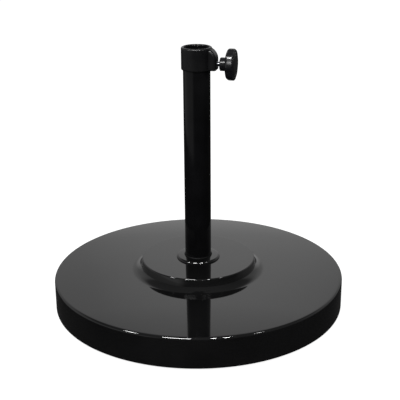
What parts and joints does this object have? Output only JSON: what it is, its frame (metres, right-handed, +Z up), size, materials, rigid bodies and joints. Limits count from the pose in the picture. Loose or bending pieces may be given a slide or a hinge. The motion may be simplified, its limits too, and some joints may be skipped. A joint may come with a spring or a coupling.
{
  "type": "parasol base",
  "caption": "Round weighted parasol base with a domed stepped cover, a short stand tube, and a collar with a clamp screw and hand knob that holds the pole.",
  "frame": {"origin": "on the floor, under the stand tube's axis", "axes": "+Z up along the stand tube, +X along the clamp screw from the tube towards the knob"},
  "size_m": [0.5, 0.5, 0.452],
  "materials": {
    "cover_paint": "gloss",
    "tube_paint": "satin",
    "plate_paint": "satin",
    "concrete": "matte",
    "sleeve_plastic": "matte",
    "plug_plastic": "matte",
    "zinc_steel": "satin",
    "plug_steel": "satin",
    "collar_plastic": "satin",
    "collar_screw_steel": "satin",
    "pad_nylon": "satin",
    "screw_steel": "polished",
    "knob_plastic": "satin",
    "cap_plastic": "gloss",
    "foot_rubber": "matte"
  },
  "bodies": {
    "base": {"base_cover": "cover_paint", "foot_flange": "cover_paint", "foot_weld": "cover_paint", "stand_tube": "tube_paint", "bottom_plate": "plate_paint", "concrete_core": "concrete", "core_sleeve": "sleeve_plastic", "foot_plugs": "plug_plastic", "foot_screws": "zinc_steel", "plate_washer": "zinc_steel", "spring_washer": "zinc_steel", "centre_bolt": "zinc_steel", "tube_plug": "plug_steel", "clamp_collar": "collar_plastic", "collar_screw": "collar_screw_steel", "clamp_nut": "zinc_steel", "rubber_foot_1": "foot_rubber", "rubber_foot_2": "foot_rubber", "rubber_foot_3": "foot_rubber", "rubber_foot_4": "foot_rubber", "rubber_foot_5": "foot_rubber", "rubber_foot_6": "foot_rubber"},
    "pad": {"pressure_pad": "pad_nylon"},
    "knob": {"clamp_screw": "screw_steel", "knob_body": "knob_plastic", "knob_cap": "cap_plastic"}
  },
  "joints": [
    {"name": "clamp_travel", "type": "slide", "parent": "base", "child": "pad", "axis": [-1, 0, 0], "range_m": [-0.0025, 0.0045]},
    {"name": "knob_turn", "type": "hinge", "parent": "pad", "child": "knob", "pos_m": [0, 0, 0.4251], "axis": [-1, 0, 0], "range_deg": [-720, 1296]}
  ],
  "couplings": [
    {"joint": "clamp_travel", "follows": "knob_turn", "m_per_rad": 0.00019894}
  ]
}
